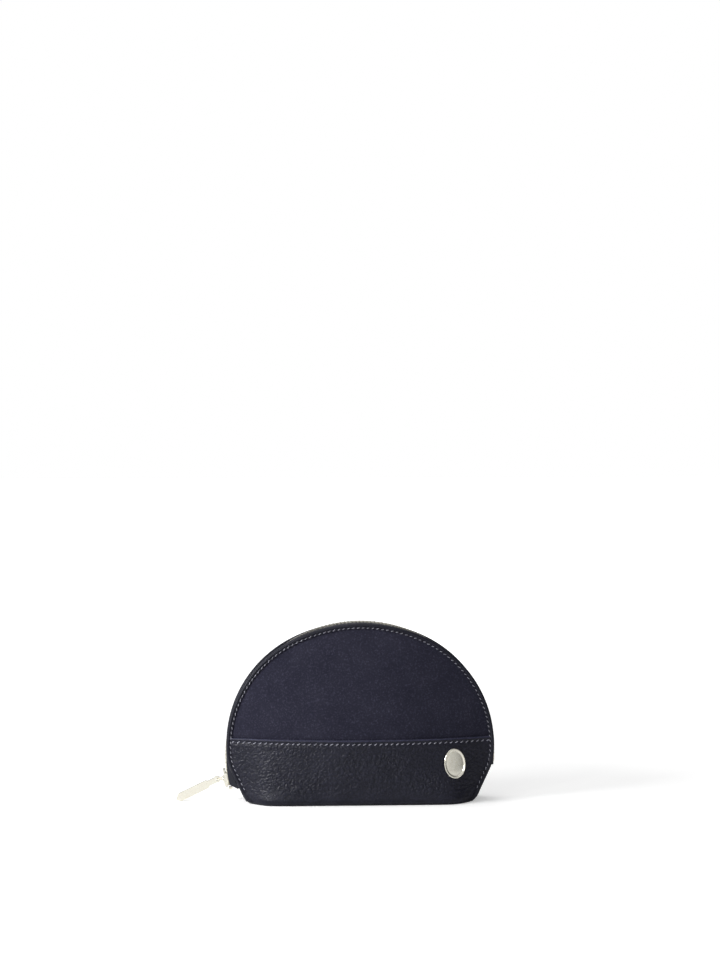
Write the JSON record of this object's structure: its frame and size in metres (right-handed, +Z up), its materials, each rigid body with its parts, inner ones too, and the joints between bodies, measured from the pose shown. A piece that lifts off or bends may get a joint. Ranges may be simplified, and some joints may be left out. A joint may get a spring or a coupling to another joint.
{
  "type": "zippered pouch",
  "caption": "Half-moon zippered pouch with a pebbled leather band, suede panels, a zip over the arch with slider and pull, and a plain oval badge.",
  "frame": {"origin": "centre of the base's flat face, where it meets the surface the pouch stands on", "axes": "+Z up, +X along the length to the right as seen from the front, +Y from front to back"},
  "size_m": [0.204, 0.052, 0.1149],
  "materials": {
    "suede": "matte nap",
    "leather": "pebbled, semi-gloss",
    "binding": "smooth, semi-gloss",
    "lining": "plain weave",
    "board": "fibre board",
    "tape": "woven",
    "gold": "polished pale gold"
  },
  "bodies": {
    "pouch": {"back_suede_panel": "suede", "front_leather_band": "leather", "back_leather_band": "leather", "base_panel": "leather", "left_end_tab": "leather", "right_end_tab": "leather", "back_edge_binding": "binding", "back_lining": "lining", "base_lining": "lining", "base_board": "board", "back_stiffener": "board", "back_zip_tape": "tape", "back_zip_teeth": "gold", "zip_top_stops": "gold", "zip_bottom_stop": "gold", "badge_plate": "gold", "badge_washer": "gold"},
    "front_flap": {"front_suede_panel": "suede", "front_stiffener": "board", "front_lining": "lining", "front_edge_binding": "binding", "front_zip_tape": "tape", "front_zip_teeth": "gold"},
    "slider": {"slider_body": "gold", "slider_bridge": "gold"},
    "link": {"pull_link": "gold"},
    "pull": {"pull_bar": "gold"}
  },
  "joints": [
    {"name": "slider_travel", "type": "hinge", "parent": "pouch", "child": "slider", "pos_m": [0, 0, 0.0286], "axis": [0, 1, 0], "range_deg": [0, 186], "deforming": ["front_zip_teeth", "back_zip_teeth"]},
    {"name": "link_swing", "type": "hinge", "parent": "slider", "child": "link", "pos_m": [-0.08737, 0, 0.01447], "axis": [0, 1, 0], "range_deg": [0, 35]},
    {"name": "pull_swing", "type": "hinge", "parent": "link", "child": "pull", "pos_m": [-0.09141, 0, 0.01382], "axis": [0, 1, 0], "range_deg": [0, 60]},
    {"name": "front_panel_opens", "type": "hinge", "parent": "pouch", "child": "front_flap", "pos_m": [0, -0.017, 0.0415], "axis": [1, 0, 0], "range_deg": [0, 25], "deforming": ["front_suede_panel", "front_lining", "front_edge_binding", "front_zip_tape"]}
  ]
}
